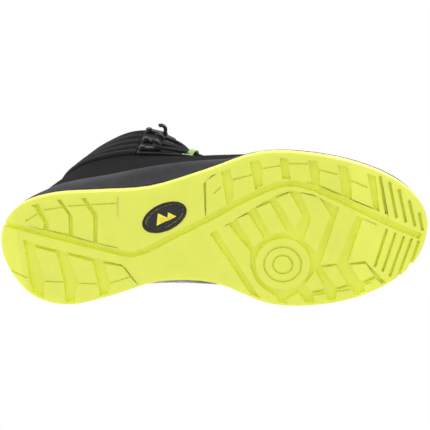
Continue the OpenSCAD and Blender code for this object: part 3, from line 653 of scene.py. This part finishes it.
def tongue_hem(spot):
    """Held along its sewn foot and its hems, free between them."""
    near_side = abs(spot.x) > side_hem_from
    near_foot = spot.z < tongue_low[2] + foot_hem
    near_top = spot.z > tongue_high[2] - top_hem
    return 1.0 if near_side or near_foot or near_top else 0.0

blow_up(tongue, tongue_hem, 0.0005, 10.0)

# ---- Lace loops ----------------------------------------------------------------------
# Three pairs of pastel green webbing loops are folded over the lace and riveted to the
# eyestays, each with one steel rivet.
loops = sewn("lace_loops", "lace_loop_webbing", edge=0.5)
webbing_green = substance("webbing_green", tone(205, 240, 150), 0.7, Sheen_Weight=0.15)
weave(webbing_green, 0.0012, 0.0002, tone(182, 222, 122), tone(222, 250, 176))
loops.data.materials.append(webbing_green)
rivet_steel = substance("rivet", tone(70, 70, 74), 0.35, Metallic=0.9)
mottle(rivet_steel, tone(60, 60, 64), tone(84, 84, 88), 0.002)
grain(rivet_steel, 0.0005, 0.00003)
coat("loop_rivets", rivet_steel)
coat("hook_rivets", rivet_steel)

# ---- Lace hooks ----------------------------------------------------------------------
# Three pairs of moulded nylon speed hooks stand on the collar's edge, each held by a rivet
# through its plate.
hook_nylon = substance("hook_plastic", tone(38, 37, 43), 0.4, Specular_IOR_Level=0.4)
mottle(hook_nylon, tone(33, 32, 38), tone(45, 44, 50), 0.003)
grain(hook_nylon, 0.0006, 0.00005)
coat("lace_hooks", hook_nylon)

# ---- Lace ----------------------------------------------------------------------------
# One round braided polyester lace runs through the loops, round the hooks and over the
# tongue. Its two tails hang inside the shaft and end in pressed tips.
lace = sewn("lace", "lace_braid", levels=1, edge=0.2, sharp=70)
lace_braid = substance("lace", tone(32, 32, 34), 0.8, Specular_IOR_Level=0.3, Sheen_Weight=0.08)
weave(lace_braid, 0.0017, 0.0003, tone(16, 16, 18), tone(46, 46, 50), (1, 1, 0.6), (-0.6, 1, 1))
lace.data.materials.append(lace_braid)
tip_film = substance("tip", tone(26, 26, 28), 0.25, Coat_Weight=0.4)
mottle(tip_film, tone(24, 24, 26), tone(34, 34, 36), 0.003)
grain(tip_film, 0.0008, 0.00005)
coat("lace_tips", tip_film)

# ---- Stitching -----------------------------------------------------------------------
# Lockstitch rows in dark grey thread hold the overlays and the collar binding along their edges.
thread_grey = substance("thread", tone(58, 58, 62), 0.6, Sheen_Weight=0.1)
mottle(thread_grey, tone(50, 50, 54), tone(68, 68, 72), 0.002)
grain(thread_grey, 0.0003, 0.00005)
stitch_pitch = 0.0034
stitch_length = 0.0024
thread_radius = 0.00032
thread_lift = 0.00008
thread_squash = 0.8
cloth_reach = 0.002
flattest_fold = math.radians(48)
# the upper wraps round a line at this height, and round the toe and the heel beyond these
wrap_height, toe_from, heel_from = 0.05, -0.06, 0.10
least_outward = 0.45


def outer_edges(source, gap):
    """The rims of a panel's outer face, each as a chain of points set in by a gap."""
    work = bmesh.new()
    work.from_mesh(bpy.data.objects[source].data)
    bmesh.ops.remove_doubles(work, verts=work.verts, dist=0.00001)
    bmesh.ops.join_triangles(work, faces=work.faces, angle_face_threshold=quad_fold,
                             angle_shape_threshold=quad_skew)
    steps = {}
    for side in work.edges:
        if len(side.link_faces) != 2 or side.calc_face_angle(0) < flattest_fold:
            continue
        for face in side.link_faces:
            middle = face.calc_center_median()
            outward = Vector((middle.x, 0, max(middle.z - wrap_height, -0.01)))
            if middle.y < toe_from:
                outward.y = middle.y - toe_from
            if middle.y > heel_from:
                outward.y = middle.y - heel_from
            if face.normal.dot(outward.normalized()) < least_outward:
                continue
            first, second = side.verts[0], side.verts[1]
            run = (second.co - first.co).normalized()
            inward = face.normal.cross(run)
            if inward.dot(middle - first.co) < 0:
                inward.negate()
            for a, b in ((first, second), (second, first)):
                steps.setdefault(a.index, []).append((b.index, inward.copy()))
    spots = {v.index: v.co.copy() for v in work.verts}
    work.free()
    chains = []
    seen = set()
    for start in sorted(steps, key=lambda k: len(steps[k])):
        if start in seen:
            continue
        chain, here = [], start
        while here is not None:
            seen.add(here)
            push = sum((s[1] for s in steps[here]), Vector())
            chain.append(spots[here] + push.normalized() * gap)
            here = next((s[0] for s in steps[here] if s[0] not in seen), None)
        if len(chain) > 4:
            chains.append(chain)
    return chains


def sew(name, rows, lowest):
    """Lays stitches along the edges of finished panels, above a height in metres."""
    verts, faces = [], []
    sides = 6
    turns = [k * math.tau / sides for k in range(sides)]
    ring = [(math.cos(turn), math.sin(turn)) for turn in turns]
    # a stitch from end to end: how far along its length, and how thick
    profile = ((-0.5, 0.0), (-0.44, 0.7), (-0.25, 1.0), (0.25, 1.0), (0.44, 0.7), (0.5, 0.0))
    for source, piece, gap in rows:
        cloth = BVHTree.FromObject(piece, bpy.context.evaluated_depsgraph_get())
        for chain in outer_edges(source, gap):
            walked, need = 0.0, stitch_pitch / 2
            for a, b in zip(chain, chain[1:]):
                span = (b - a).length
                while walked + span > need and span > 1e-6:
                    spot = a.lerp(b, (need - walked) / span)
                    need += stitch_pitch
                    hit, normal, _, far_off = cloth.find_nearest(spot)
                    if hit is None or far_off > cloth_reach or hit.z <= lowest:
                        continue
                    run = (b - a) - normal * (b - a).dot(normal)
                    if run.length < 1e-6:
                        continue
                    run.normalize()
                    side = normal.cross(run)
                    base = len(verts)
                    for at, wide in profile:
                        for c, s in (ring if wide else ring[:1]):
                            lift = thread_lift + thread_radius * wide * s * thread_squash
                            verts.append(hit + normal * lift + run * at * stitch_length
                                         + side * thread_radius * wide * c)
                    last = len(verts) - 1
                    for k in range(sides):
                        n = (k + 1) % sides
                        faces.append((base, base + 1 + n, base + 1 + k))
                        for low in range(base + 1, last - sides, sides):
                            faces.append((low + k, low + n, low + sides + n, low + sides + k))
                        faces.append((last - sides + k, last - sides + n, last))
                walked += span
    mesh = bpy.data.meshes.new(name)
    mesh.from_pydata([v[:] for v in verts], [], faces)
    mesh.update()
    thread = bpy.data.objects.new(name, mesh)
    scene.collection.objects.link(thread)
    edit(thread)
    bpy.ops.mesh.normals_make_consistent(inside=False)
    done()
    smooth(thread, 60)
    thread.data.materials.append(thread_grey)
    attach(thread, "boot")


sew("overlay_stitching", (
    ("toe_guard", toe_guard, 0.0022), ("eyestay_lateral", eyestay_lateral, 0.0022),
    ("eyestay_medial", eyestay_medial, 0.0022), ("heel_seam_tape", heel_tape, 0.0018),
), lowest=0.030)
sew("binding_stitching", (("collar_binding", binding, 0.0016),), lowest=0.12)
